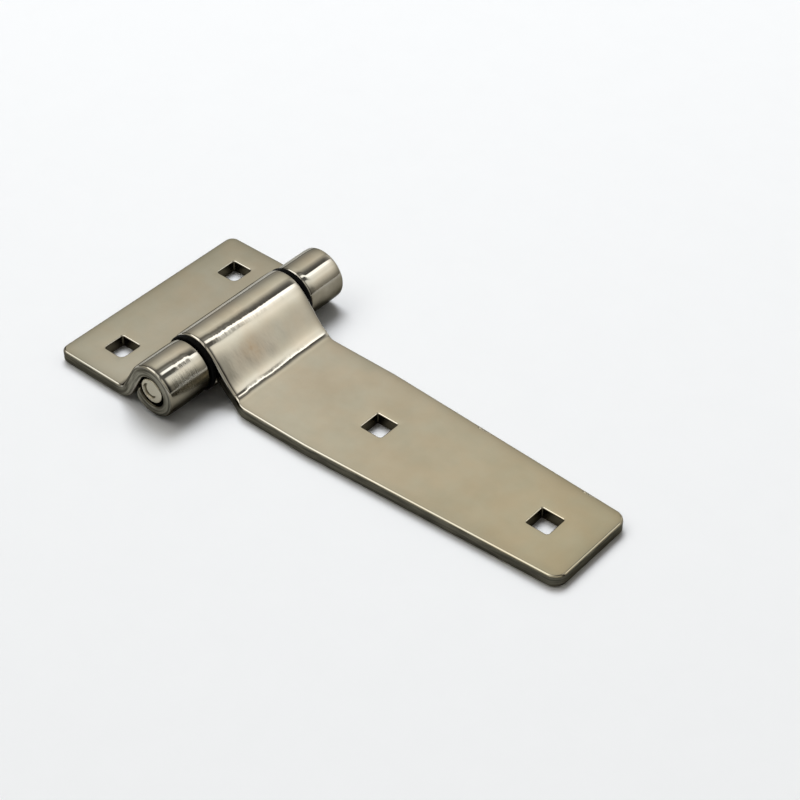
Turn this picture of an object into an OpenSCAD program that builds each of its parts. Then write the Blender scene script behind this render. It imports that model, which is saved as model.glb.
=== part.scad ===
// T hinge in 5 mm sheet steel: a jamb plate with two rolled knuckles, a cranked
// and tapered strap with one wide rolled knuckle, a plain pin and two flanged bushes.
// Frame: the back faces of both leaves lie on Z = 0, the pin runs along Y, and the
// strap points along +X. The origin is midway between the jamb plate's two holes.

/* [Sheet] */
// Thickness of the sheet both leaves are made of
sheet_t = 5; // [4.5:0.1:5.2]
// Inside radius of the bend where the jamb plate rises to its knuckles
plate_bend_r = 4; // [3:0.5:4]
// Inside radius of the bend where the strap rises to its knuckle
strap_bend_r = 7; // [4:0.5:8]

/* [Pin and bushes] */
// Diameter of the hinge pin
pin_d = 10; // [9:0.1:10.5]
// Height of the pin axis above the back faces
pin_z = 11.4; // [11.4:0.1:12]
// Length of the hinge pin
pin_l = 90; // [86:0.5:90]
// Chamfer round each end of the pin
pin_chamfer = 0.4; // [0.2:0.1:0.8]
// Radial clearance between the pin and a bush
bush_clearance = 0.05; // [0.02:0.01:0.1]
// Diameter of a bush's flange
flange_d = 22; // [16:0.5:22]
// Thickness of a bush's flange
flange_t = 2; // [1:0.1:2]
// Length of a bush's sleeve inside the strap knuckle
sleeve_l = 18; // [8:0.5:22]

/* [Jamb plate] */
// Length of the jamb plate along the pin
plate_l = 90; // [90:0.5:94]
// Distance from the pin axis to the jamb plate's back edge
plate_w = 48; // [46:0.5:60]
// Radius of the jamb plate's two outer corners
plate_corner_r = 3.5; // [1:0.5:8]
// Outside radius of the jamb plate's knuckles
plate_knuckle_r = 10.5; // [10.3:0.1:10.8]
// Mean length of the jamb plate's two knuckles along the pin
plate_knuckle_l = 18.6; // [15:0.1:18.6]
// Angle below the pin axis at which the jamb plate's curls stop
plate_curl_end = 25; // [15:1:30]
// Angle at which the jamb plate rises to its knuckles
plate_rise = 60; // [55:1:62]
// Gap left between the pin and the lower half of the jamb plate's curl
curl_gap = 0.9; // [0.4:0.1:1.2]
// Distance from the pin axis to the edge between the jamb plate's knuckles
notch_x = 17; // [16.5:0.1:18]
// Distance from the pin axis to the jamb plate's hole centres
plate_hole_x = 31.5; // [28:0.5:36]
// Distance between the jamb plate's two hole centres
plate_hole_gap = 58.5; // [50:0.5:66]

/* [Strap] */
// Distance from the pin axis to the strap's tip
strap_l = 160; // [150:1:220]
// Width of the strap where its sides are parallel
strap_w = 49.4; // [46:0.1:50]
// Width of the strap's tip
tip_w = 38.6; // [30:0.1:44]
// Radius of the tip's two corners
tip_corner_r = 5; // [1:0.5:8]
// Distance from the pin axis to where the strap begins to taper
taper_x = 54; // [40:1:60]
// How far the middle of the parallel part lies to one side of the jamb plate's
strap_y = -1; // [-1:0.1:0]
// How far the middle of the tip lies to one side of the jamb plate's
tip_y = -0.7; // [-1:0.1:0]
// Outside radius of the strap's knuckle
strap_knuckle_r = 11.35; // [11.3:0.05:11.4]
// Length of the strap's knuckle along the pin
neck_l = 48.4; // [44:0.1:48.4]
// How far the middle of the knuckle and of the notch it sits in lies to one side
neck_y = 1; // [0:0.1:1]
// Angle at which the strap drops from its knuckle
strap_drop = 51; // [48:1:54]
// Angle below the pin axis at which the strap's curl stops
strap_curl_end = 8; // [6:1:30]
// Distance from the pin axis to where the neck begins to widen
flare_x = 19; // [18:0.5:20]
// Distance along the strap over which the neck widens
flare_l = 5; // [4:0.5:8]
// Radius of the two corners of the widening
flare_r = 3; // [1:0.5:4]
// Distance from the pin axis to the strap's first hole
strap_hole_x = 67.5; // [60:0.5:80]
// Distance between the strap's two hole centres
strap_hole_gap = 72.5; // [60:0.5:75]

/* [Square holes] */
// Side of every square bolt hole
hole_w = 9; // [8:0.1:10.5]
// Corner radius of the jamb plate's holes
plate_hole_r = 0.8; // [0.2:0.1:1.5]
// Corner radius of the strap's holes
strap_hole_r = 0.3; // [0.2:0.1:1.5]

/* [Hidden] */
$fn = 96;
// The jamb plate's holes set the origin, so the pin lies this far along +X.
pin_x = plate_hole_x;
pin_r = pin_d / 2;
bush_r = strap_knuckle_r - sheet_t;
// A curl's end face runs out to this share of the knuckle's radius, then straight down.
curl_end_share = 0.68;
// A sloping stretch lies this far inside the tangents of its knuckle and its bend, so
// that it meets each of them in a clean edge.
shy = 0.02;
// The knuckle's disc runs on under the sloping stretch by this angle, and the stretch's
// front face runs on into the bend by this length.
disc_lap = 4.5;
slope_lap = 0.8;
// The straight stretches end in points, at these angles inside the knuckle and the bend.
knuckle_point = 10;
slope_point = 20;
flat_point = 10;
// Radius of the inner corners beside the jamb plate's knuckles.
notch_r = 1;
// Oversize for cutting bodies.
cut = 1;

function unit(v) = v / norm(v);

// How far a bend of inside radius r runs on past its tangent: between the two angles
// at which its outer and its inner face pass into the sloping stretch.
function bend_lap(r) = (acos(1 - shy / r) + acos(1 - shy / (r + sheet_t))) / 2;

// A filled outline through anticlockwise corner points. Each corner is rounded to its
// own radius, or left sharp where that is 0.
module rounded(points, radii) {
    all = [0:len(points) - 1];
    n = len(points);
    back = [for (i = all) unit(points[(i + n - 1) % n] - points[i])];
    ahead = [for (i = all) unit(points[(i + 1) % n] - points[i])];
    half = [for (i = all) acos(back[i] * ahead[i]) / 2];
    centre = [for (i = all) points[i] + unit(back[i] + ahead[i]) * radii[i] / sin(half[i])];
    convex = [for (i = all) cross(ahead[i], back[i]) > 0];
    difference() {
        union() {
            polygon([for (i = all) for (side = radii[i] > 0 ? [back[i], ahead[i]] : [back[i]])
                points[i] + side * radii[i] / tan(half[i])]);
            for (i = all)
                if (convex[i] && radii[i] > 0) translate(centre[i]) circle(r = radii[i]);
        }
        for (i = all)
            if (!convex[i] && radii[i] > 0) translate(centre[i]) circle(r = radii[i]);
    }
}

// The direction that leans from straight up towards -X by this angle.
function leaning(angle) = [-sin(angle), cos(angle)];

// A disc about the pin axis, open on the -X side between a curl's end face and the
// sloping stretch that comes in above it.
module open_disc(r, rise, end_angle) {
    end_x = curl_end_share * r;
    difference() {
        circle(r = r);
        polygon([[0, 0], [-end_x, -end_x * tan(end_angle)], [-end_x, -2 * r], [-3 * r, -2 * r],
                 3 * r * leaning(rise + disc_lap)]);
    }
}

// A bend of inside radius r about its own centre, from straight below it to this angle.
module bend(r, angle) {
    reach = 2 * (r + sheet_t);
    intersection() {
        difference() {
            circle(r = r + sheet_t);
            circle(r = r);
        }
        polygon([[0, 0], [0, -reach], reach * [tan(angle / 2), -1],
                 reach * [sin(angle), -cos(angle)]]);
    }
}

// Section of one leaf, with the pin axis at X = 0 and the leaf running to -X. The
// straight stretches end in points that run into the knuckle and the bend. Below the
// axis the knuckle's bore is drawn down by gap.
module leaf_section(r_out, r_bore, r_bend, gap, rise, end_angle, leaf_l) {
    out = leaning(rise);
    down = [-cos(rise), -sin(rise)];
    axis = [0, pin_z];
    top = axis + (r_out - shy) * out;
    bend_z = sheet_t + r_bend;
    bend_x = top[0] - (r_bend - shy - (bend_z - top[1]) * cos(rise)) / sin(rise);
    centre = [bend_x, bend_z];
    foot = centre - (r_bend - shy) * out;
    mid_r = r_bend + sheet_t / 2;
    difference() {
        union() {
            translate(axis) open_disc(r_out, rise, end_angle);
            polygon([top - sheet_t * out,
                     axis + (r_out - sheet_t / 2) * leaning(rise - knuckle_point),
                     top, foot + slope_lap * down,
                     centre - mid_r * leaning(rise - slope_point), foot - sheet_t * out]);
        }
        translate(axis) circle(r = r_bore);
        translate(axis - [0, gap]) circle(r = r_bore);
    }
    translate(centre) bend(r_bend, rise + bend_lap(r_bend));
    polygon([[-leaf_l, 0], [bend_x, 0], centre - mid_r * leaning(flat_point),
             [bend_x, sheet_t], [-leaf_l, sheet_t]]);
}

// Lays a section drawn in X and Z along Y over length l, centred on Y = 0.
module along_pin(l) {
    translate([0, l / 2, 0]) rotate([90, 0, 0]) linear_extrude(l) children();
}

// Cuts a leaf to its outline seen from above.
module trim_to_outline() {
    translate([0, 0, -cut]) linear_extrude(2 * pin_z + 2 * cut) children();
}

// The four corner points of a rectangle between two X values and two Y values.
function box_points(x, y) = [[x[0], y[0]], [x[1], y[0]], [x[1], y[1]], [x[0], y[1]]];

// A square prism with rounded corners, right through a leaf.
module square_hole(r) {
    half_w = [-hole_w / 2, hole_w / 2];
    translate([0, 0, -cut]) linear_extrude(sheet_t + 2 * cut)
        rounded(box_points(half_w, half_w), [r, r, r, r], $fn = 32);
}

// Outline of the jamb plate with the notch between its knuckles, pin axis at X = 0.
module plate_outline() {
    end_x = plate_knuckle_r + cut;
    half_l = plate_l / 2;
    half_notch = half_l - plate_knuckle_l;
    notch = [neck_y - half_notch, neck_y + half_notch];
    rounded([[-plate_w, -half_l], [end_x, -half_l], [end_x, notch[0]], [-notch_x, notch[0]],
             [-notch_x, notch[1]], [end_x, notch[1]], [end_x, half_l], [-plate_w, half_l]],
            [plate_corner_r, 0, 0, notch_r, notch_r, 0, 0, plate_corner_r]);
}

// Outline of the strap with its neck and taper, pin axis at X = 0.
module strap_outline() {
    root_x = -strap_knuckle_r - cut;
    wide_x = flare_x + flare_l;
    neck = [neck_y - neck_l / 2, neck_y + neck_l / 2];
    wide = [strap_y - strap_w / 2, strap_y + strap_w / 2];
    tip = [tip_y - tip_w / 2, tip_y + tip_w / 2];
    rounded([[root_x, neck[0]], [flare_x, neck[0]], [wide_x, wide[0]], [taper_x, wide[0]],
             [strap_l, tip[0]], [strap_l, tip[1]],
             [taper_x, wide[1]], [wide_x, wide[1]], [flare_x, neck[1]], [root_x, neck[1]]],
            [0, flare_r, flare_r, 0, tip_corner_r, tip_corner_r, 0, flare_r, flare_r, 0]);
}

module jamb_plate() {
    color([0.69, 0.66, 0.58]) translate([pin_x, 0, 0]) difference() {
        intersection() {
            along_pin(2 * plate_l)
                leaf_section(plate_knuckle_r, pin_r, plate_bend_r, curl_gap, plate_rise,
                             plate_curl_end, plate_w);
            trim_to_outline() plate_outline();
        }
        for (s = [-1, 1])
            translate([-plate_hole_x, s * plate_hole_gap / 2, 0]) square_hole(plate_hole_r);
    }
}

module strap() {
    color([0.71, 0.68, 0.60]) translate([pin_x, 0, 0]) difference() {
        intersection() {
            along_pin(2 * strap_w)
                mirror([1, 0])
                    leaf_section(strap_knuckle_r, bush_r, strap_bend_r, 0, strap_drop,
                                 strap_curl_end, strap_l);
            trim_to_outline() strap_outline();
        }
        for (i = [0, 1])
            translate([strap_hole_x + i * strap_hole_gap, strap_y, 0]) square_hole(strap_hole_r);
    }
}

module hinge_pin() {
    c = pin_chamfer;
    color([0.78, 0.76, 0.70]) translate([pin_x, 0, pin_z]) rotate([90, 0, 0])
        rotate_extrude()
            polygon([[0, -pin_l / 2], [pin_r - c, -pin_l / 2], [pin_r, -pin_l / 2 + c],
                     [pin_r, pin_l / 2 - c], [pin_r - c, pin_l / 2], [0, pin_l / 2]]);
}

// A flanged bush: its flange lies on the strap knuckle's end face at y, and its
// sleeve runs into the knuckle along side (1 or -1).
module bush(y, side) {
    bore_r = pin_r + bush_clearance;
    color([0.06, 0.06, 0.06]) translate([pin_x, y, pin_z]) rotate([-90 * side, 0, 0])
        rotate_extrude()
            polygon([[bore_r, -flange_t], [flange_d / 2, -flange_t], [flange_d / 2, 0],
                     [bush_r, 0], [bush_r, sleeve_l], [bore_r, sleeve_l]]);
}

module bush_near() {
    bush(neck_y - neck_l / 2, 1);
}

module bush_far() {
    bush(neck_y + neck_l / 2, -1);
}

jamb_plate();
strap();
hinge_pin();
bush_near();
bush_far();
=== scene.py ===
"""Looks of the T hinge: polished stainless leaves with rolled knuckles, a pin and two bushes."""
import bpy
import math
import numpy as np
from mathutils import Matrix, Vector
from mathutils.geometry import delaunay_2d_cdt


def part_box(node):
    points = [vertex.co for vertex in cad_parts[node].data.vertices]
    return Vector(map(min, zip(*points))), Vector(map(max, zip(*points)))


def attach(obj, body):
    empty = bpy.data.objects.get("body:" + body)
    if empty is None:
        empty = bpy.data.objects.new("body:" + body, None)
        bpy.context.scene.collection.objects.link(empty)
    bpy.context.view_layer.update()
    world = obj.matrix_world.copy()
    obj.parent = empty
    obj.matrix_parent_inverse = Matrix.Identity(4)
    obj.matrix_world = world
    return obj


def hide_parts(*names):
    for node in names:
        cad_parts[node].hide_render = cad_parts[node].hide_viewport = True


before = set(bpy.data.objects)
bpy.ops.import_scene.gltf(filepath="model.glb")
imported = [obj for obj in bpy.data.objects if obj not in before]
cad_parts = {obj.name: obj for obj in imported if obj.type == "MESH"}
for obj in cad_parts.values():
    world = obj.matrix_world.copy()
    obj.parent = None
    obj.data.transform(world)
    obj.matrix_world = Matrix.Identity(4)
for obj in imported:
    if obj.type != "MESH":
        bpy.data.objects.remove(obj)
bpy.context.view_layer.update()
MM = 0.001


pin_lo, pin_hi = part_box("hinge_pin")
plate_lo, plate_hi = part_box("jamb_plate")
strap_lo, strap_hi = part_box("strap")

# Meshes are laid out in millimetres. The pin's axis runs along Y through PIN_X, PIN_Z, and
# sizes that aren't worked out from the boxes are the sheet metal's own details.
PIN_X = (pin_lo.x + pin_hi.x) / 2 / MM
PIN_Z = (pin_lo.z + pin_hi.z) / 2 / MM
SHEET = 5.0
HALF = SHEET / 2


# ---------------------------------------------------------------- sheet-metal leaves

def smooth(a, b, v):
    t = np.clip((v - a) / (b - a), 0.0, 1.0)
    return t * t * (3 - 2 * t)


class Leaf:
    """A sheet rolled along its length. s runs along the middle of the sheet from the flat
    end to the free end of the curl, w across the thickness towards the front.

    side is +1 for a flat that lies towards +X, length runs from the pin axis to the flat's end,
    r_out is the knuckle's outside radius, rise the slope's angle in degrees, hollow how far the
    slope's direction dips in radians, bend_r the bend's inside radius, wrap_end the angle in
    degrees at which the curl stops, end_cut how far its end slants, loose whether it was left
    open below the pin, and under_dull_and_shade how strongly its rolled underside is made
    rougher and darkened with painted shade."""

    def __init__(self, side, length, r_out, rise, hollow, bend_r, wrap_end, end_cut, loose, under_dull_and_shade):
        self.side = side
        self.length = length
        self.r_mid = r_out - HALF
        self.end_cut = end_cut
        self.loose = loose
        self.under_dull_and_shade = under_dull_and_shade
        # phi is the direction in which the front face looks: 90 degrees on the flat. The slope is
        # a little hollow, so it leaves the bend and meets the curl at a steeper phi than its own.
        phi_slope = math.radians(90 - rise)
        self.phi_curl = phi_slope + 3 * hollow
        turn = math.pi / 2 - self.phi_curl
        bend = np.linspace(0, 1, 400)
        bend_phi = math.pi / 2 - turn * (bend + bend * bend * (3 - 2 * bend)) / 2
        q = np.linspace(-1, 1, 800)
        slope_phi = phi_slope - hollow * (1 - 4 * np.abs(q) ** 3)
        bend_l = (bend_r + HALF) * turn
        climb = PIN_Z + self.r_mid * math.sin(self.phi_curl) - HALF - bend_l * np.cos(bend_phi).mean()
        slope_l = climb / np.cos(slope_phi).mean()
        steps = np.concatenate([np.full(399, bend_l / 399), np.full(800, slope_l / 800)])
        phi = np.concatenate([bend_phi[:-1], slope_phi])
        walked = np.concatenate([[0.0], np.cumsum(steps)])
        back_x = np.concatenate([[0.0], np.cumsum(steps * np.sin(phi))])
        up_z = np.concatenate([[0.0], np.cumsum(steps * np.cos(phi))])
        self.bend_u = self.r_mid * math.cos(self.phi_curl) + back_x[-1]
        self.s1 = length - self.bend_u
        self.s2 = self.s1 + bend_l
        self.s3 = self.s1 + walked[-1]
        self.total = self.s3 + self.r_mid * (math.radians(360 - wrap_end) - self.phi_curl)
        self.walk_s = self.s1 + walked
        self.walk_x = self.bend_u - back_x
        self.walk_z = HALF + up_z
        self.walk_phi = np.concatenate([phi, [self.phi_curl]])

    def rows(self):
        """Values of s where the mesh has a row of points: close together where it bends."""
        def span(a, b, step):
            return list(np.linspace(a, b, max(2, int(math.ceil((b - a) / step)) + 1)))
        out = span(0, self.s1, 4.0) + span(self.s1, self.s2, 0.4) + span(self.s2, self.s3, 0.8)
        out += span(self.s3, self.total, 0.5)
        out += [1.2, 1.8, 2.6, 3.4]
        return sorted(set(np.round(out, 5)))

    def s_of_x(self, x):
        """s at distance x from the pin axis, on the flat or in the bend."""
        if x >= self.bend_u:
            return self.length - x
        return float(np.interp(-x, -self.walk_x, self.walk_s))

    def s_of_phi(self, degrees):
        """s where the rolled part's front face looks this way."""
        return self.s3 + self.r_mid * (math.radians(degrees) - self.phi_curl)

    def s_of_z(self, z):
        """s where the middle of the rising stretch is at height z."""
        return float(np.interp(z, self.walk_z, self.walk_s))

    def centre(self, s):
        """Where the middle of the sheet is at s, which way it faces, and how fast that turns."""
        phi = np.interp(s, self.walk_s, self.walk_phi)
        turn = np.gradient(self.walk_phi, self.walk_s)
        rate = np.where(s < self.s1, 0.0, np.interp(s, self.walk_s, turn))
        x = np.where(s < self.s1, self.length - s, np.interp(s, self.walk_s, self.walk_x))
        z = np.interp(s, self.walk_s, self.walk_z)
        curl = s > self.s3
        phi = np.where(curl, self.phi_curl + (s - self.s3) / self.r_mid, phi)
        x = np.where(curl, self.r_mid * np.cos(phi), x)
        z = np.where(curl, PIN_Z + self.r_mid * np.sin(phi), z)
        return x, z, phi, np.where(curl, 1 / self.r_mid, rate)

    def shoulder(self, s):
        """How far the faces sink towards the outer edges: more on the rolled part."""
        return 0.06 + 0.10 * smooth(self.s1 - 3, self.s1 + 4, s)

    def under(self, s):
        """0 on the front, 1 on the rolled part's underside, which was hardly polished and so is rougher; its
        colour there is darkened as painted shade.
        """
        phi = self.centre(s)[2]
        return self.under_dull_and_shade * (0.6 * smooth(2.58, 2.85, phi) + 0.4 * smooth(2.85, 3.6, phi)) * (s > self.s3)

    def place(self, s, y, w, ns, ny, nw):
        """Points and normals in millimetres, from arrays in the flattened sheet."""
        depth = (w + HALF) / SHEET
        s = s - self.end_cut * depth ** 3 * smooth(self.total - 9, self.total, s)
        x, z, phi, rate = self.centre(s)
        if self.loose:
            # The curl was rolled a little tight at the top and left open below the pin.
            r_in = (self.r_mid - HALF - 0.2 * np.exp(-((phi - 1.8) / 0.9) ** 2)
                    + 0.75 * smooth(3.0, 4.6, phi))
            w = np.where((w < 0) & (s > self.s3), w * (self.r_mid - r_in) / HALF, w)
        nx, nz = np.cos(phi), np.sin(phi)
        ns = ns / (1 + w * rate)
        co = np.stack([(x + w * nx) * self.side + PIN_X, y, z + w * nz], 1)
        no = np.stack([(nw * nx - ns * nz) * self.side, ny, ns * nx + nw * nz], 1)
        return co, no / np.linalg.norm(no, axis=1)[:, None]


def ring(corners, radii, rows, step=2.5):
    """A closed anticlockwise outline with rounded corners: points and outward normals."""
    pts, nos = [], []
    n = len(corners)
    c = [np.array(p, float) for p in corners]
    ends = []
    for i in range(n):
        a, b = c[i - 1] - c[i], c[(i + 1) % n] - c[i]
        a, b = a / np.linalg.norm(a), b / np.linalg.norm(b)
        half = math.acos(np.clip(a @ b, -1, 1)) / 2
        reach = radii[i] / math.tan(half)
        mid = c[i] + (a + b) / np.linalg.norm(a + b) * radii[i] / math.sin(half)
        convex = b[0] * a[1] - b[1] * a[0] > 0
        ends.append((c[i] + a * reach, c[i] + b * reach, mid, convex, math.pi - 2 * half))
    for i in range(n):
        p0, p1, mid, convex, turn = ends[i]
        k = max(3, int(math.ceil(math.degrees(turn) / 9)))
        v0, v1 = p0 - mid, p1 - mid
        a0 = math.atan2(v0[1], v0[0])
        da = (math.atan2(v1[1], v1[0]) - a0 + math.pi) % (2 * math.pi) - math.pi
        r = radii[i]
        for j in range(k + 1):
            a = a0 + da * j / k
            d = np.array([math.cos(a), math.sin(a)])
            pts.append(mid + r * d)
            nos.append(d if convex else -d)
        q = ends[(i + 1) % n][0]
        edge = q - p1
        length = np.linalg.norm(edge)
        if length < 1e-6:
            continue
        normal = np.array([edge[1], -edge[0]]) / length
        if abs(edge[0]) > 0.3 * length:
            t = sorted((r0 - p1[0]) / edge[0] for r0 in rows)
        else:
            t = list(np.arange(1, int(length / step) + 1) / (int(length / step) + 1))
        for u in t:
            if 0.15 / length < u < 1 - 0.15 / length:
                pts.append(p1 + edge * u)
                nos.append(normal)
    return np.array(pts), np.array(nos)


def inside(p, poly):
    """Which points of p lie inside a closed polygon."""
    x, y = p[:, 0], p[:, 1]
    hit = np.zeros(len(p), bool)
    for a, b in zip(poly, np.roll(poly, -1, 0)):
        cross = (a[1] > y) != (b[1] > y)
        with np.errstate(divide="ignore", invalid="ignore"):
            hit ^= cross & (x < (b[0] - a[0]) * (y - a[1]) / (b[1] - a[1]) + a[0])
    return hit


def away_from(p, poly):
    """Distance from each point of p to a closed polygon, and the direction straight away from it."""
    best = np.full(len(p), np.inf)
    away = np.zeros_like(p)
    for a, b in zip(poly, np.roll(poly, -1, 0)):
        edge = b - a
        t = np.clip((p - a) @ edge / max(edge @ edge, 1e-12), 0, 1)
        gap = p - (a + t[:, None] * edge)
        d = np.linalg.norm(gap, axis=1)
        nearer = d < best
        best = np.where(nearer, d, best)
        away[nearer] = gap[nearer] / np.maximum(d[nearer], 1e-9)[:, None]
    return best, away


def grid_points(rows, rim, step):
    """Points across the sheet on every row, closer together towards its edges."""
    near_edge = np.array([0.5, 1.1, 1.9, 2.9, 4.2])
    margin = near_edge[-1]
    out = []
    for s in rows:
        cuts = []
        for a, b in zip(rim, np.roll(rim, -1, 0)):
            if (a[0] > s) != (b[0] > s):
                cuts.append(a[1] + (b[1] - a[1]) * (s - a[0]) / (b[0] - a[0]))
        cuts.sort()
        for lo, hi in zip(cuts[::2], cuts[1::2]):
            keep = near_edge[near_edge < (hi - lo) / 2 - 0.4]
            count = max(2, int((hi - lo - 2 * margin) / step) + 2)
            middle = np.linspace(lo + margin, hi - margin, count)[1:-1]
            ys = np.concatenate([lo + keep, hi - keep, middle if hi - lo > 10 else []])
            out += [(s, y) for y in ys]
    return np.array(out)


def leaf_mesh(name, leaf, outline, holes, edge_r, hole_r, step):
    """One closed mesh: front and back faces joined by a rounded rim along every edge. Near a rim
    the faces sink a little, as they do when an edge is broken and polished. edge_r and hole_r
    are the rims' radii, and step the distance between points across the sheet."""
    rims = [(outline[0], outline[1], edge_r, leaf.shoulder, 1.5)]
    rims += [(p, -n, hole_r, lambda s: np.full(len(s), 0.03), 0.8) for p, n in holes]
    parts = {"co": [], "no": [], "sheet": [], "rim": [], "hole": [], "brink": [], "under": []}
    faces, count = [], 0

    def add(p, w, nb, nw, rim=0.0, hole=0.0, brink=0.0):
        nonlocal count
        n = len(p)
        w = np.broadcast_to(w, n).astype(float)
        co, no = leaf.place(p[:, 0], p[:, 1], w, nb[:, 0], nb[:, 1], np.broadcast_to(nw, n))
        parts["co"].append(co)
        parts["no"].append(no)
        parts["sheet"].append(np.stack([p[:, 0], p[:, 1], w], 1) * MM)
        parts["rim"].append(np.broadcast_to(rim, n))
        parts["hole"].append(np.full(n, hole))
        parts["brink"].append(np.broadcast_to(brink, n))
        parts["under"].append(leaf.under(p[:, 0]))
        count += n
        return np.arange(count - n, count)

    inner = []
    for k, (p, n, r, soft, reach) in enumerate(rims):
        sink = soft(p[:, 0])
        first = np.arctan(sink / reach)
        mid_w = HALF - sink - r * np.cos(first)
        levels = []
        for i in range(8):
            a = first + (math.pi / 2 - first) * i / 7
            levels.append((r * (1 - np.sin(a)), mid_w + r * np.cos(a), np.sin(a), np.cos(a)))
        wall = [(0 * sink, mid_w * t, 1 + 0 * sink, 0 * sink) for t in (0.6, 0.2, -0.2, -0.6)]
        levels += wall + [(d, -w, nb, -nw) for d, w, nb, nw in reversed(levels)]
        ids = [add(p - n * d[:, None], w, n * nb[:, None], nw, nb, float(k > 0), float(k == 0))
               for d, w, nb, nw in levels]
        for a, b in zip(ids[:-1], ids[1:]):
            a1, b1 = np.roll(a, -1), np.roll(b, -1)
            quads = zip(a, b, b1, a1) if k == 0 else zip(a, a1, b1, b)
            faces += [tuple(int(v) for v in q) for q in quads]
        inner.append((p - n * levels[0][0][:, None], ids[0], ids[-1]))
    near = np.concatenate([poly for poly, _, _ in inner])
    grid = grid_points(leaf.rows(), inner[0][0], step)
    keep = inside(grid, inner[0][0])
    for poly, _, _ in inner[1:]:
        keep &= ~inside(grid, poly)
    grid = grid[keep]
    gap, _ = away_from(grid, inner[0][0])
    edge_gap = gap
    for poly, _, _ in inner[1:]:
        gap = np.minimum(gap, away_from(grid, poly)[0])
    grid, edge_gap = grid[gap > 0.3], edge_gap[gap > 0.3]
    brink = np.exp(-edge_gap / 2.2)
    sunk, tilt = np.zeros(len(grid)), np.zeros_like(grid)
    for (poly, _, _), (_, _, _, soft, reach) in zip(inner, rims):
        d, away = away_from(grid, poly)
        drop = soft(grid[:, 0]) * np.exp(-d / reach)
        sunk += drop
        tilt -= away * (drop / reach)[:, None]
    front = add(grid, HALF - sunk, tilt, 1.0, brink=brink)
    back = add(grid, sunk - HALF, tilt, -1.0, brink=brink)
    flat = np.concatenate([near, grid])
    f_ids = np.concatenate([i for _, i, _ in inner] + [front])
    b_ids = np.concatenate([i for _, _, i in inner] + [back])
    edges, base = [], 0
    for poly, _, _ in inner:
        m = len(poly)
        edges += [(base + i, base + (i + 1) % m) for i in range(m)]
        base += m
    out = delaunay_2d_cdt([Vector(v) for v in flat], edges, [], 0, 1e-7)
    origin = [o[0] if o else -1 for o in out[3]]
    pos = np.array([tuple(v) for v in out[0]])
    tris = np.array(out[2])
    mid = pos[tris].mean(1)
    keep = inside(mid, inner[0][0])
    for poly, _, _ in inner[1:]:
        keep &= ~inside(mid, poly)
    for tri in tris[keep]:
        i, j, k = (origin[v] for v in tri)
        faces.append((int(f_ids[i]), int(f_ids[j]), int(f_ids[k])))
        faces.append((int(b_ids[k]), int(b_ids[j]), int(b_ids[i])))
    joined = {key: np.concatenate(values) for key, values in parts.items()}
    return make_mesh(name, joined.pop("co"), faces, joined.pop("no"), **joined)


def make_mesh(name, co, faces, normals, **named):
    """A smooth mesh from points in millimetres, facing the way its given normals do."""
    p = [co[i] for i in faces[0][:3]]
    facing = np.cross(p[1] - p[0], p[2] - p[0]) @ normals[list(faces[0][:3])].sum(0)
    if facing < 0:
        faces = [tuple(reversed(f)) for f in faces]
    mesh = bpy.data.meshes.new(name)
    mesh.from_pydata([tuple(v) for v in co * MM], [], faces)
    mesh.validate()
    mesh.polygons.foreach_set("use_smooth", [True] * len(mesh.polygons))
    mesh.normals_split_custom_set_from_vertices([tuple(v) for v in normals])
    for key, values in named.items():
        vector = values.ndim == 2
        data = mesh.attributes.new(key, "FLOAT_VECTOR" if vector else "FLOAT", "POINT").data
        data.foreach_set("vector" if vector else "value", values.ravel())
    mesh.update()
    obj = bpy.data.objects.new(name, mesh)
    bpy.context.scene.collection.objects.link(obj)
    return obj


PLATE = Leaf(side=-1, length=PIN_X - plate_lo.x / MM, r_out=10.5, rise=60, hollow=0.0,
             bend_r=4.0, wrap_end=18, end_cut=5.0, loose=True, under_dull_and_shade=1.0)
STRAP = Leaf(side=1, length=strap_hi.x / MM - PIN_X, r_out=11.35, rise=50, hollow=0.05,
             bend_r=7.0, wrap_end=10, end_cut=2.5, loose=False, under_dull_and_shade=0.4)

HOLE_HALF = 4.5
PLATE_HOLE_Y = 29.25
STRAP_HOLE_Y = -1.0
STRAP_HOLE_XS = (67.5, 140.0)
NOTCH_X = 17.0
NOTCH_Y = (-25.4, 27.4)
NECK_Y = (-23.2, 25.2)
WIDE_Y = (-25.7, 23.7)
TIP_Y = (-20.0, 18.6)
TAPER_X = 54.0
FLARE_XS = (24.0, 19.0)


def square_hole(s, y, radii):
    """Outline of a square bolt hole about s, y."""
    h = HOLE_HALF
    return ring([(s - h, y - h), (s + h, y - h), (s + h, y + h), (s - h, y + h)], radii, [], 1.0)


def jamb_plate():
    leaf = PLATE
    half_l = plate_hi.y / MM
    near, far = NOTCH_Y
    end, notch = leaf.total, leaf.s_of_x(NOTCH_X)
    corners = [(0, -half_l), (end, -half_l), (end, near), (notch, near),
               (notch, far), (end, far), (end, half_l), (0, half_l)]
    outline = ring(corners, [3.5, 1.3, 1.3, 1.2, 1.2, 1.3, 1.3, 3.5], leaf.rows())
    hole_s = leaf.length - PIN_X
    holes = [square_hole(hole_s, y, [1.0, 1.9, 1.0, 0.8]) for y in (-PLATE_HOLE_Y, PLATE_HOLE_Y)]
    return leaf_mesh("plate_leaf", leaf, outline, holes, 1.0, 0.6, 2.6)


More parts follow.
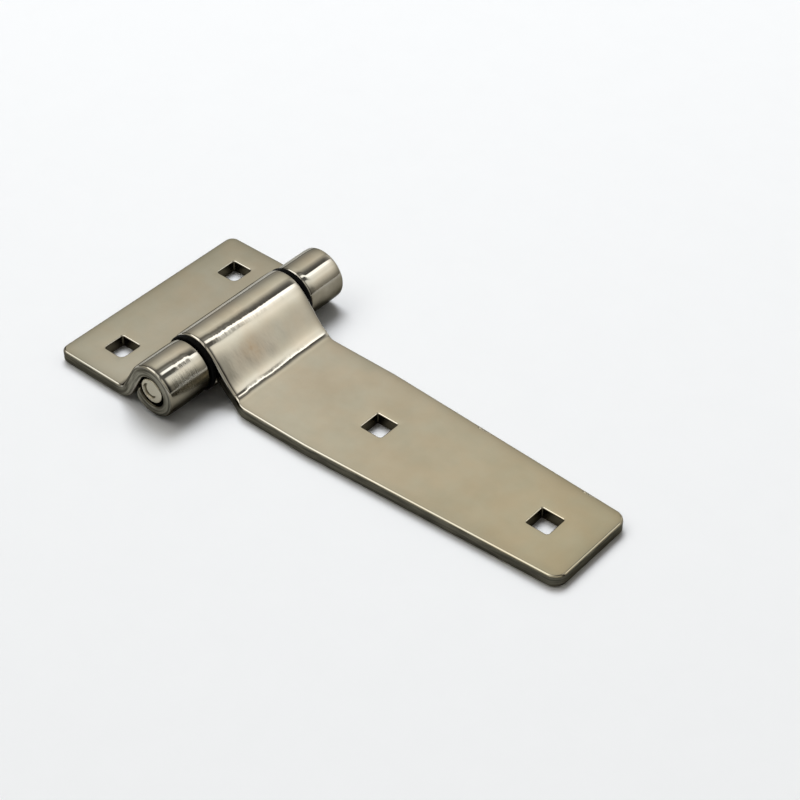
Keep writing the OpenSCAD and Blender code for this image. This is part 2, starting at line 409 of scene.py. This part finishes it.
def strap_leaf():
    leaf = STRAP
    end, taper = leaf.total, leaf.length - TAPER_X
    flare = [leaf.s_of_x(x) for x in FLARE_XS]
    corners = [(0, TIP_Y[0]), (taper, WIDE_Y[0]), (flare[0], WIDE_Y[0]), (flare[1], NECK_Y[0]),
               (end, NECK_Y[0]), (end, NECK_Y[1]), (flare[1], NECK_Y[1]),
               (flare[0], WIDE_Y[1]), (taper, WIDE_Y[1]), (0, TIP_Y[1])]
    outline = ring(corners, [5, 80, 9, 9, 1.3, 1.3, 12, 12, 80, 5], leaf.rows())
    holes = [square_hole(leaf.length - x, STRAP_HOLE_Y, [1.1, 0.6, 0.5, 0.6]) for x in STRAP_HOLE_XS]
    return leaf_mesh("strap_leaf", leaf, outline, holes, 1.0, 0.6, 2.8)


def hinge_pin():
    """Cropped round bar, its ends a little domed, with the crescent left where it was cut."""
    # A hair slimmer and shorter than the CAD pin, so that its domed ends stay inside its box.
    r, half_l, edge = 4.95, pin_hi.y / MM - 0.25, 0.55
    steps, rings = 96, 26
    co, no, faces = [], [], []

    def dome(rho):
        return 0.12 * (1 - (rho / r) ** 2)

    def crescent(x, z):
        outer = 3.2 - np.hypot(x + 0.9, z + 0.3)
        inner = np.hypot(x - 0.35, z - 0.95) - 2.5
        return smooth(0, 0.5, np.minimum(outer, inner))

    def end_height(x, z):
        rho = np.hypot(x, z)
        h = np.where(rho < r - edge, dome(rho), 0.0)
        lip = np.clip((rho - (r - edge)) / edge, 0, 1)
        round_off = edge * (1 - np.sqrt(np.clip(1 - lip ** 2, 0, 1)))
        h = h + np.where(lip > 0, dome(r - edge) - round_off, 0)
        return h - 0.8 * crescent(x, z)

    radii = [0.0] + list(np.linspace(0.2, r - edge, rings - 8)) + \
        [r - edge + edge * math.sin(math.radians(90 * k / 7)) for k in range(1, 8)]
    # Rings of points from the near end's middle to the far end's: which end, and its radius, or
    # 0 and its place along the bar.
    mids = np.linspace(-half_l + 1.5, half_l - 1.5, 24)
    seq = [(-1, rho) for rho in radii[1:]] + [(0, y) for y in mids] + [(1, rho) for rho in radii[:0:-1]]
    angles = np.arange(steps) * 2 * math.pi / steps
    ca, sa = np.cos(angles), np.sin(angles)
    eps = 0.02
    shade = [[0.0]]
    co.append([(PIN_X, -half_l - float(end_height(0.0, 0.0)), PIN_Z)])
    no.append([(0, -1, 0)])
    for kind, v in seq:
        if kind == 0:
            ring_co = np.stack([PIN_X + r * ca, np.full(steps, v), PIN_Z + r * sa], 1)
            ring_no = np.stack([ca, np.zeros(steps), sa], 1)
            shade.append(np.zeros(steps))
        else:
            x, z = v * ca, v * sa
            # Painted shade: the crescent's hollow is darkened, through the same mask that darkens the
            # leaves' undersides.
            shade.append(0.9 * crescent(x, z))
            h = end_height(x, z)
            gx = (end_height(x + eps, z) - end_height(x - eps, z)) / (2 * eps)
            gz = (end_height(x, z + eps) - end_height(x, z - eps)) / (2 * eps)
            ring_co = np.stack([PIN_X + x, kind * (half_l + h), PIN_Z + z], 1)
            ring_no = np.stack([-gx, np.full(steps, kind), -gz], 1)
            if v > r - 1e-6:
                ring_no = np.stack([ca, np.zeros(steps), sa], 1)
            ring_no = ring_no / np.linalg.norm(ring_no, axis=1)[:, None]
        co.append(ring_co)
        no.append(ring_no)
    co.append([(PIN_X, half_l + float(end_height(0.0, 0.0)), PIN_Z)])
    no.append([(0, 1, 0)])
    co, no = np.concatenate(co), np.concatenate(no)
    last = len(co) - 1
    for i in range(steps):
        j = (i + 1) % steps
        faces.append((0, 1 + i, 1 + j))
        for k in range(len(seq) - 1):
            a, b = 1 + k * steps, 1 + (k + 1) * steps
            faces.append((a + i, b + i, b + j, a + j))
        a = 1 + (len(seq) - 1) * steps
        faces.append((a + i, last, a + j))
    shade.append([0.0])
    return make_mesh("pin_bar", co, faces, no, under=np.concatenate(shade))


FLANGE_T = 2.0
BUSH_BORE_R = 5.05
BUSH_SLEEVE_R = 6.35


def bush(name, node, sign):
    """Flanged bush with softened edges and a shallow oil groove round its flange."""
    lo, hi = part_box(node)
    flange_r = (hi.z - lo.z) / 2 / MM
    outer = (hi.y if sign > 0 else lo.y) / MM
    inner = (lo.y if sign > 0 else hi.y) / MM
    face = outer - sign * FLANGE_T
    b, sl = BUSH_BORE_R, BUSH_SLEEVE_R
    pts = [(inner, (b + sl) / 2), (inner, sl), (face, sl), (face, flange_r), (outer, flange_r),
           (outer, flange_r - 1.7), (outer - sign * 0.35, flange_r - 2.1),
           (outer - sign * 0.35, flange_r - 2.9), (outer, flange_r - 3.3), (outer, b), (inner, b)]
    radii = [0.3, 0.3, 0.15, 0.5, 0.5, 0.2, 0.2, 0.2, 0.2, 0.35, 0.3]
    n = len(pts)
    p_out, n_out = [], []
    c = [np.array(p, float) for p in pts]
    for i in range(n):
        a, d = c[i - 1] - c[i], c[(i + 1) % n] - c[i]
        a, d = a / np.linalg.norm(a), d / np.linalg.norm(d)
        half = math.acos(np.clip(a @ d, -1, 1)) / 2
        if half > math.radians(89):
            p_out.append(c[i])
            n_out.append(np.array([-d[1], d[0]]))
            continue
        mid = c[i] + (a + d) / np.linalg.norm(a + d) * radii[i] / math.sin(half)
        v0 = c[i] + a * radii[i] / math.tan(half) - mid
        v1 = c[i] + d * radii[i] / math.tan(half) - mid
        for k in range(6):
            v = v0 * (1 - k / 5) + v1 * (k / 5)
            v = v / np.linalg.norm(v)
            p_out.append(mid + v * radii[i])
            out = v if (d[0] * a[1] - d[1] * a[0]) * sign < 0 else -v
            n_out.append(out)
    co, no, faces = [], [], []
    steps, m = 96, len(p_out)
    for i in range(steps):
        t = 2 * math.pi * i / steps
        for (y, r), (ny, nr) in zip(p_out, n_out):
            co.append((PIN_X + r * math.cos(t), y, PIN_Z + r * math.sin(t)))
            no.append((nr * math.cos(t), ny, nr * math.sin(t)))
    for i in range(steps):
        j = (i + 1) % steps
        for k in range(m):
            k1 = (k + 1) % m
            faces.append((i * m + k, i * m + k1, j * m + k1, j * m + k))
    return make_mesh(name, np.array(co), faces, np.array(no))


# ---------------------------------------------------------------- materials

def nodes_of(name):
    mat = bpy.data.materials.new(name)
    mat.use_nodes = True
    tree = mat.node_tree
    for node in list(tree.nodes):
        tree.nodes.remove(node)
    return mat, tree


def add_node(tree, kind, **values):
    node = tree.nodes.new(kind)
    for key, value in values.items():
        if key in node.inputs:
            node.inputs[key].default_value = value
        else:
            setattr(node, key, value)
    return node


def noise(tree, coords, scale, detail=3.0, rough=0.55, stretch=(1, 1, 1), shift=(0, 0, 0)):
    """A noise whose features are about 1 / scale metres across."""
    place = add_node(tree, "ShaderNodeMapping")
    place.inputs["Scale"].default_value = stretch
    place.inputs["Location"].default_value = shift
    tex = add_node(tree, "ShaderNodeTexNoise", Scale=scale, Detail=detail, Roughness=rough)
    tree.links.new(coords, place.inputs["Vector"])
    tree.links.new(place.outputs["Vector"], tex.inputs["Vector"])
    return tex.outputs["Fac"]


def remap(tree, value, lo, hi, to_lo, to_hi, kind="LINEAR"):
    node = add_node(tree, "ShaderNodeMapRange", interpolation_type=kind)
    for key, number in (("From Min", lo), ("From Max", hi), ("To Min", to_lo), ("To Max", to_hi)):
        node.inputs[key].default_value = number
    tree.links.new(value, node.inputs["Value"])
    return node.outputs["Result"]


def maths(tree, op, a, b=None):
    node = add_node(tree, "ShaderNodeMath", operation=op)
    for socket, v in zip(node.inputs, (a, b)):
        if v is None:
            continue
        if isinstance(v, (int, float)):
            socket.default_value = v
        else:
            tree.links.new(v, socket)
    return node.outputs["Value"]


def mix_colour(tree, fac, a, b):
    node = add_node(tree, "ShaderNodeMix", data_type="RGBA")
    tree.links.new(fac, node.inputs["Factor"])
    for socket, v in ((node.inputs[6], a), (node.inputs[7], b)):
        if isinstance(v, tuple):
            socket.default_value = v + (1.0,)
        else:
            tree.links.new(v, socket)
    return node.outputs[2]


def multiply(tree, a, b):
    node = add_node(tree, "ShaderNodeMix", data_type="RGBA", blend_type="MULTIPLY")
    node.inputs["Factor"].default_value = 1.0
    tree.links.new(a, node.inputs[6])
    tree.links.new(b, node.inputs[7])
    return node.outputs[2]


def bump(tree, height, distance, normal=None):
    node = add_node(tree, "ShaderNodeBump", Strength=1.0, Distance=distance)
    tree.links.new(height, node.inputs["Height"])
    if normal is not None:
        tree.links.new(normal, node.inputs["Normal"])
    return node.outputs["Normal"]


def attribute(tree, name, output="Fac"):
    return add_node(tree, "ShaderNodeAttribute", attribute_name=name).outputs[output]


def surface(tree, colour, roughness, normal, constants):
    """Ends a material with a Principled shader, whose other sockets take constants."""
    shader = add_node(tree, "ShaderNodeBsdfPrincipled")
    for key, value in constants.items():
        shader.inputs[key].default_value = value
    tree.links.new(colour, shader.inputs["Base Color"])
    if roughness is not None:
        tree.links.new(roughness, shader.inputs["Roughness"])
    if normal is not None:
        tree.links.new(normal, shader.inputs["Normal"])
    out = add_node(tree, "ShaderNodeOutputMaterial")
    tree.links.new(shader.outputs["BSDF"], out.inputs["Surface"])


def times(tree, *factors):
    product = factors[0]
    for factor in factors[1:]:
        product = maths(tree, "MULTIPLY", product, factor)
    return product


HEAT_TINT = (0.56, 0.38, 0.22)
# The next three colours are painted shade: along the faces' outer edges, and tan then near black under the
# rolled part and in the pin's crescent.
EDGE_SHADE = (0.18, 0.17, 0.13)
UNDER_SHADE_TAN = (0.21, 0.185, 0.13)
UNDER_SHADE_DEEP = (0.02, 0.018, 0.013)
SIDE_DARK, SIDE_LIGHT = (0.055, 0.052, 0.04), (0.12, 0.113, 0.085)
END_DARK, END_LIGHT = (0.07, 0.066, 0.052), (0.24, 0.228, 0.185)
HOLE_WALL = (0.06, 0.052, 0.035)
GLANCING = (0.5, 0.49, 0.46, 1.0)


def steel(name, seed, light, dark, flat_end, tip_shade=(1.0, 1.0, 1.0), rough=(0.06, 0.11),
          rolled=None, stain=None):
    """Vibratory-polished stainless: soft mottling, wavy where it was bent, darker down the cut sides.
    Painted shade darkens it towards its edges and towards the flat's far end, reaches from the cut
    sides over the outer part of each rounded rim, and darkens the rolled part's underside, which is
    also rougher. flat_end is how far along the sheet the flat reaches, tip_shade the tint of that
    painted shade at the flat's far end, rolled where it has grinding lines (y from, y to, s from,
    s to), and stain the middle of a heat tint."""
    mat, tree = nodes_of(name)
    coords = add_node(tree, "ShaderNodeTexCoord").outputs["Object"]
    sheet = attribute(tree, "sheet", "Vector")
    rim, hole = attribute(tree, "rim"), attribute(tree, "hole")
    brink, under = attribute(tree, "brink"), attribute(tree, "under")
    along = add_node(tree, "ShaderNodeSeparateXYZ")
    tree.links.new(sheet, along.inputs["Vector"])
    bent = remap(tree, along.outputs["X"], flat_end - 0.004, flat_end + 0.004, 0, 1, "SMOOTHSTEP")
    shift = (seed * 1.7, seed * 0.9, seed * 2.3)
    cloud = noise(tree, coords, 60, 2, 0.5, shift=shift)
    blotch = noise(tree, coords, 130, 3, 0.6, shift=shift)
    fine = noise(tree, coords, 900, 3, 0.6, shift=shift)
    swell = noise(tree, sheet, 75, 1, 0.4, stretch=(1.0, 1.0, 0.3), shift=shift)
    ripple = noise(tree, sheet, 300, 2, 0.45, stretch=(0.6, 1.1, 0.3), shift=shift)
    layers = noise(tree, sheet, 1400, 3, 0.6, stretch=(0.06, 0.06, 1.0), shift=shift)
    hair = noise(tree, sheet, 300, 2, 0.5, stretch=(0.1, 6.0, 1.0), shift=shift)
    patches = maths(tree, "ADD", times(tree, cloud, 0.65), times(tree, blotch, 0.35))
    tone = remap(tree, patches, 0.38, 0.62, 0, 1)
    colour = mix_colour(tree, tone, dark, light)
    tinge = noise(tree, coords, 85, 2, 0.5, shift=tuple(2 * v for v in shift))
    drift = mix_colour(tree, remap(tree, tinge, 0.35, 0.65, 0, 1), (1.0, 0.97, 0.93), (0.965, 0.985, 0.98))
    colour = multiply(tree, colour, drift)
    # Painted shade: the colour grows darker and warmer towards the flat's far end.
    tip_shaded = mix_colour(tree, remap(tree, along.outputs["X"], 0, flat_end, 1, 0), (1.0, 1.0, 1.0), tip_shade)
    colour = multiply(tree, colour, tip_shaded)
    if stain:
        spot = add_node(tree, "ShaderNodeVectorMath", operation="DISTANCE")
        tree.links.new(sheet, spot.inputs[0])
        spot.inputs[1].default_value = stain
        near = remap(tree, spot.outputs["Value"], 0.0, 0.007, 0.6, 0, "SMOOTHSTEP")
        near = times(tree, near, remap(tree, blotch, 0.4, 0.6, 0.4, 1))
        colour = mix_colour(tree, near, colour, HEAT_TINT)
    # Painted shade: the faces darken towards their outer edges.
    edge_shade = remap(tree, brink, 0, 1, 0, 0.32)
    colour = mix_colour(tree, edge_shade, colour, EDGE_SHADE)
    # Painted shade on the rolled part's underside and in the pin's crescent: tan, then near black where
    # deepest. The same mask makes the metal rougher there.
    dull_and_shaded = times(tree, under, remap(tree, blotch, 0.35, 0.65, 0.84, 1.0))
    colour = mix_colour(tree, remap(tree, dull_and_shaded, 0, 0.55, 0, 0.9), colour, UNDER_SHADE_TAN)
    colour = mix_colour(tree, remap(tree, dull_and_shaded, 0.5, 1.0, 0, 1), colour, UNDER_SHADE_DEEP)
    # The cut sides and hole walls take their own dark, streaked colour. The mask starts partway round each
    # rounded rim, so its outer part is darkened too: painted shade that darkens the outlines.
    cut = remap(tree, maths(tree, "ADD", rim, remap(tree, blotch, 0.3, 0.7, -0.05, 0.05)),
                0.7, 0.97, 0, 1, "SMOOTHSTEP")
    streaks = remap(tree, layers, 0.4, 0.6, 0, 1)
    side = mix_colour(tree, streaks, SIDE_DARK, SIDE_LIGHT)
    end = mix_colour(tree, streaks, END_DARK, END_LIGHT)
    side = mix_colour(tree, bent, side, end)
    side = mix_colour(tree, hole, side, HOLE_WALL)
    colour = mix_colour(tree, cut, colour, side)
    roughness = remap(tree, blotch, 0.3, 0.7, rough[0], rough[1])
    roughness = times(tree, roughness, remap(tree, bent, 0, 1, 1, 0.4))
    roughness = maths(tree, "ADD", roughness, times(tree, cut, 0.16))
    roughness = maths(tree, "ADD", roughness, times(tree, dull_and_shaded, 0.25))
    normal = bump(tree, times(tree, swell, remap(tree, bent, 0, 1, 0.15, 1)), 0.0002)
    normal = bump(tree, times(tree, ripple, remap(tree, bent, 0, 1, 0.03, 1)), 0.000024, normal=normal)
    normal = bump(tree, maths(tree, "ADD", times(tree, fine, 0.3), times(tree, hair, 0.15)), 0.000006,
                  normal=normal)
    if rolled:
        # Grinding lines round the near knuckle, on the side away from the plate.
        near_y, far_y, start_s, end_s = rolled
        zone = times(tree, remap(tree, along.outputs["Y"], near_y, near_y + 0.003, 0, 1),
                     remap(tree, along.outputs["Y"], far_y - 0.003, far_y, 1, 0),
                     remap(tree, along.outputs["X"], start_s, start_s + 0.004, 0, 1),
                     remap(tree, along.outputs["X"], end_s - 0.004, end_s, 1, 0))
        lines = noise(tree, sheet, 700, 3, 0.7, stretch=(0.05, 3.0, 0.06), shift=shift)
        normal = bump(tree, times(tree, zone, lines), 0.00012, normal=normal)
        roughness = maths(tree, "ADD", roughness, times(tree, zone, 0.06))
    surface(tree, colour, roughness, normal, {"Metallic": 1.0, "Specular Tint": GLANCING})
    return mat


def nylon(name):
    """Black moulded nylon, faintly speckled."""
    mat, tree = nodes_of(name)
    coords = add_node(tree, "ShaderNodeTexCoord").outputs["Object"]
    speckle = noise(tree, coords, 2600, 3, 0.7)
    dust = noise(tree, coords, 420, 4, 0.6)
    dusty = remap(tree, dust, 0.5, 0.75, 0, 1)
    colour = mix_colour(tree, dusty, (0.002, 0.002, 0.002), (0.008, 0.008, 0.007))
    surface(tree, colour, remap(tree, speckle, 0.3, 0.7, 0.42, 0.62), bump(tree, speckle, 0.00003),
            {"Specular IOR Level": 0.04})
    return mat


# ---------------------------------------------------------------- the pieces

plate_steel = steel("plate_polished", 1, (0.64, 0.615, 0.565), (0.60, 0.57, 0.51), PLATE.s1 * MM,
                    tip_shade=(0.9, 0.9, 0.86),
                    rolled=(-0.042, -0.028, PLATE.s_of_phi(122) * MM, PLATE.s_of_phi(200) * MM))
strap_steel = steel("strap_polished", 5, (0.72, 0.685, 0.625), (0.67, 0.635, 0.57), STRAP.s1 * MM,
                    tip_shade=(0.84, 0.81, 0.70), stain=(STRAP.s_of_z(12.5) * MM, -0.0065, 0.0025))
pin_steel = steel("pin_polished", 9, (0.50, 0.468, 0.38), (0.41, 0.383, 0.31), 0.0, rough=(0.3, 0.45))
black = nylon("bush_black")

for build, body, node, slot, mat in (
        (jamb_plate, "jamb", "jamb_plate", "jamb_plate_steel", plate_steel),
        (strap_leaf, "strap", "strap", "strap_steel", strap_steel),
        (hinge_pin, "jamb", "hinge_pin", "pin_steel", pin_steel)):
    piece = build()
    piece.data.materials.append(mat)
    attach(piece, body)
    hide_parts(node)
for node, sign in (("bush_near", -1), ("bush_far", 1)):
    piece = bush(node + "_flanged", node, sign)
    piece.data.materials.append(black)
    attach(piece, "strap")
    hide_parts(node)

# ---------------------------------------------------------------- floor, light, camera

mat, tree = nodes_of("paper")
coords = add_node(tree, "ShaderNodeTexCoord").outputs["Object"]
grain = noise(tree, coords, 60, 4, 0.6)
surface(tree, mix_colour(tree, grain, (0.86, 0.87, 0.885), (0.88, 0.89, 0.905)), None, None,
        {"Specular IOR Level": 0.1, "Roughness": 0.8})
# The floor lies just under the leaves' backs, so the two never flicker through each other.
bpy.ops.mesh.primitive_plane_add(size=8, location=(0, 0, -0.0002))
floor = bpy.context.object
floor.name = "floor"
floor.data.materials.append(mat)


# One large soft light, up behind the hinge. The metal mirrors the world's panels instead.
key_place, key_aim = Vector((-0.7, 0.78, 2.15)), Vector((0.03, 0.06, 0))
key_data = bpy.data.lights.new("key", "AREA")
key_data.shape = "SQUARE"
key_data.size = 1.2
key_data.energy = 43.0
key_data.color = (0.95, 0.97, 1.0)
key = bpy.data.objects.new("key", key_data)
key.location = key_place
key.rotation_euler = (key_aim - key_place).to_track_quat("-Z", "Y").to_euler()
key.visible_glossy = False
bpy.context.scene.collection.objects.link(key)

# Tall soft boxes and dark gaps hung along the pin's direction, by their angle round it.
world = bpy.data.worlds.new("studio")
bpy.context.scene.world = world
world.use_nodes = True
tree = world.node_tree
for node in list(tree.nodes):
    tree.nodes.remove(node)
coords = add_node(tree, "ShaderNodeTexCoord").outputs["Generated"]
sep = add_node(tree, "ShaderNodeSeparateXYZ")
tree.links.new(coords, sep.inputs["Vector"])
angle = maths(tree, "ARCTAN2", sep.outputs["Z"], sep.outputs["X"])


def ramp(tree, value, rows, lo, hi):
    node = add_node(tree, "ShaderNodeValToRGB")
    elements = node.color_ramp.elements
    while len(elements) > 1:
        elements.remove(elements[-1])
    for k, (at, colour) in enumerate(rows):
        t = (at - lo) / (hi - lo)
        e = elements[0] if k == 0 else elements.new(t)
        e.position = t
        e.color = colour + (1.0,)
    tree.links.new(value, node.inputs["Fac"])
    return node.outputs["Color"]


# (angle, level, warmth): how bright and how warm the studio is that way. From below, each list
# has the dim floor side, a warm wall, the tall soft box between two gaps, and an upper wall that
# falls off behind. NEAR is what the near end of the hinge mirrors, FAR what the far end does.
NEAR = [(-180, 0.2, 0.3), (-24, 0.1, 0.6), (21, 0.24, 0.9), (41, 1.04, 0.7), (51, 1.18, 0.6), (57, 1.0, 0.5),
        (60, 0.16, 0.5), (74, 0.1, 0.5), (77, 1.9, 0.2), (84, 1.9, 0.2), (87, 0.3, 0.4), (93, 0.34, 0.5),
        (100, 0.17, 0.9), (104, 0.25, 0.9), (110, 0.7, 0.9), (121, 0.88, 1.0), (160, 0.37, 0.8),
        (171, 0.38, 0.5), (180, 0.15, 0.4)]
FAR = [(-180, 0.2, 0.3), (-24, 0.3, 0.8), (11, 0.32, 0.9), (30, 0.77, 0.9), (41, 1.1, 0.7), (51, 1.12, 0.6),
       (61, 1.35, 0.4), (66, 1.9, 0.2), (75, 1.9, 0.2), (76.5, 0.09, 0.6), (84, 0.1, 0.6), (92, 0.19, 0.6),
       (111, 0.78, 1.0), (121, 0.72, 1.1), (160, 0.39, 0.9), (171, 0.4, 0.5), (180, 0.15, 0.4)]
# What the rest of the studio does, for sides that this camera doesn't see.
REST = [(-180, 0.25, 0.4), (0, 0.25, 0.6), (25, 0.42, 0.8), (45, 0.6, 0.9), (60, 0.75, 0.8), (67, 0.3, 0.6),
        (74, 0.25, 0.6), (80, 1.0, 0.5), (98, 1.0, 0.5), (104, 0.3, 0.6), (112, 0.35, 0.8), (130, 0.62, 0.9),
        (150, 0.5, 0.9), (180, 0.3, 0.6)]
# Past both ends of the hinge; in front, low down and then higher; and a bright patch overhead.
DARK = (0.1, 0.095, 0.085)
LOW = (0.02, 0.0195, 0.018)
ROOM = (0.16, 0.155, 0.145)
CEILING = (2.0, 1.97, 1.88)
# The tall soft box leans: what it does near the hinge's far end lies this much lower.
LEAN = math.radians(9.5)


def stops(rows):
    """Colours from levels: warmth takes a little green and more blue away."""
    return [(at, (level, level * (1 - 0.055 * warm), level * (1 - 0.2 * warm)))
            for at, level, warm in rows]


def around(rows, offset):
    """The studio's colour by the angle round the pin's direction, turned by an offset."""
    turn = remap(tree, maths(tree, "ADD", angle, offset), -math.pi, math.pi, 0, 1)
    return ramp(tree, turn, stops(rows), -180, 180)


reach_y = sep.outputs["Y"]
far_end = remap(tree, reach_y, 0.5, 0.555, 0, 1)
back = mix_colour(tree, far_end, around(NEAR, times(tree, far_end, LEAN)),
                  around(FAR, remap(tree, far_end, 0, 1, -LEAN, 0)))
ceiling = times(tree, remap(tree, sep.outputs["Z"], 0.6, 0.72, 0, 1, "SMOOTHSTEP"),
                remap(tree, sep.outputs["X"], -0.25, -0.1, 1, 0, "SMOOTHSTEP"),
                remap(tree, reach_y, 0.12, 0.26, 1, 0, "SMOOTHSTEP"))
front = mix_colour(tree, remap(tree, sep.outputs["Z"], 0.35, 0.85, 0, 1), LOW, ROOM)
# Polished metal also mirrors the rest of the studio, which is too dim to light the floor.
rest = around(REST, 0.0)
mirrored = add_node(tree, "ShaderNodeLightPath").outputs["Is Glossy Ray"]
front = mix_colour(tree, times(tree, mirrored, remap(tree, reach_y, -0.05, 0.15, 1, 0)), front, rest)
front = mix_colour(tree, ceiling, front, CEILING)
beyond = mix_colour(tree, mirrored, DARK, rest)
back = mix_colour(tree, remap(tree, reach_y, 0.57, 0.8, 0, 1, "SMOOTHSTEP"), back, beyond)
sky = mix_colour(tree, remap(tree, reach_y, 0.34, 0.43, 0, 1, "SMOOTHSTEP"), front, back)
back_node = add_node(tree, "ShaderNodeBackground", Strength=1.0)
out = add_node(tree, "ShaderNodeOutputWorld")
tree.links.new(sky, back_node.inputs["Color"])
tree.links.new(back_node.outputs["Background"], out.inputs["Surface"])

# Camera: 40.5 degrees round from the front, 41.4 degrees up, on a long lens.
turn_deg, lift_deg, distance = 40.46, 41.42, 0.7325
sensor_mm, lens_mm = 36.0, 92.55
aim = Vector(((PIN_X + 60.7) * MM, 18.1 * MM, 0.0))
a, e = math.radians(turn_deg), math.radians(lift_deg)
back_dir = Vector((math.sin(a) * math.cos(e), -math.cos(a) * math.cos(e), math.sin(e)))
cam = bpy.data.objects.new("camera", bpy.data.cameras.new("camera"))
cam.location = aim + back_dir * distance
cam.rotation_euler = (-back_dir).to_track_quat("-Z", "Y").to_euler()
cam.data.sensor_width = sensor_mm
cam.data.lens = lens_mm
cam.data.clip_start = 0.01
cam.data.clip_end = 50.0
bpy.context.scene.collection.objects.link(cam)
bpy.context.scene.camera = cam
bpy.context.scene.view_settings.view_transform = "Standard"
